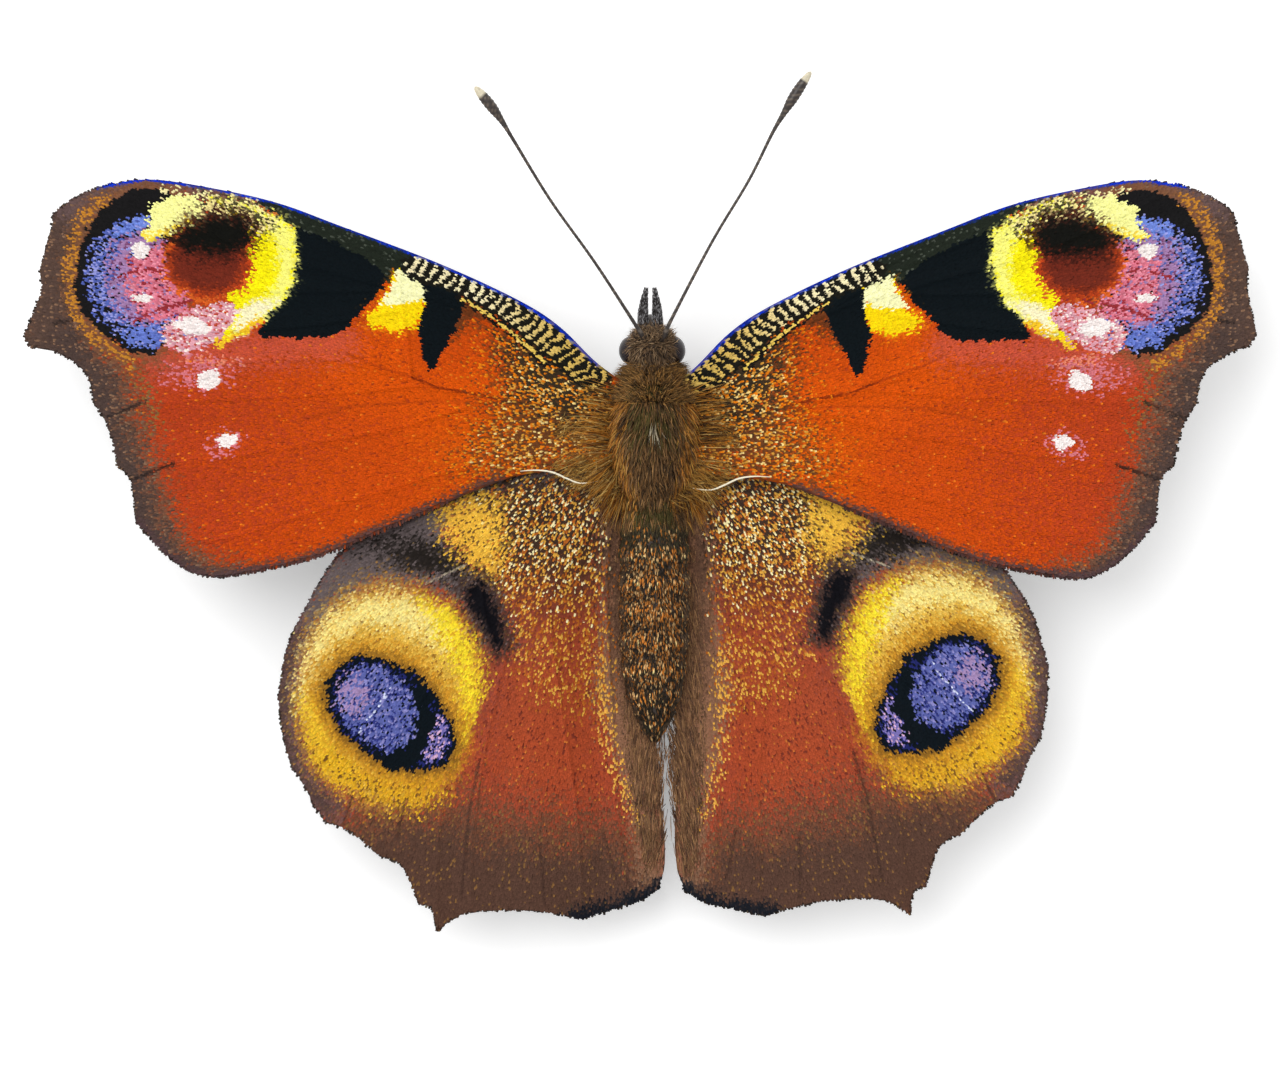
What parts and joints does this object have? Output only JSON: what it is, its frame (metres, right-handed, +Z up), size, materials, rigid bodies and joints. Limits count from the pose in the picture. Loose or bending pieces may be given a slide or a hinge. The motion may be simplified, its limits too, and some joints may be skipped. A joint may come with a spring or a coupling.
{
  "type": "peacock butterfly",
  "caption": "Peacock butterfly basking with its scalloped, eye-spotted wings spread flat, standing on slim legs with a furry body and long clubbed antennae.",
  "frame": {"origin": "on the floor, below the middle of the whole animal's box", "axes": "+Z up, +Y towards the head, +X towards the animal's right forewing tip"},
  "size_m": [0.0612, 0.0428, 0.0089],
  "materials": {
    "forewing_scales": "matte overlapping scales",
    "hindwing_scales": "matte overlapping scales",
    "thorax_fur": "soft olive-brown hair",
    "abdomen_fur": "dark hair with golden scales",
    "head_fur": "dark hair",
    "eye": "dark faceted eye",
    "antenna": "ringed dark horn with pale tip",
    "palp": "grey scales",
    "proboscis": "dark horn",
    "leg": "dark scaled horn"
  },
  "bodies": {
    "root": {"head": "head_fur", "thorax": "thorax_fur", "abdomen": "abdomen_fur", "proboscis": "proboscis", "eye_left": "eye", "eye_right": "eye", "antenna_left": "antenna", "antenna_right": "antenna", "palp_left": "palp", "palp_right": "palp", "forewing_left": "forewing_scales", "forewing_right": "forewing_scales", "hindwing_left": "hindwing_scales", "hindwing_right": "hindwing_scales", "foreleg_left": "leg", "foreleg_right": "leg", "midleg_left": "leg", "midleg_right": "leg", "hindleg_left": "leg", "hindleg_right": "leg"}
  },
  "joints": []
}
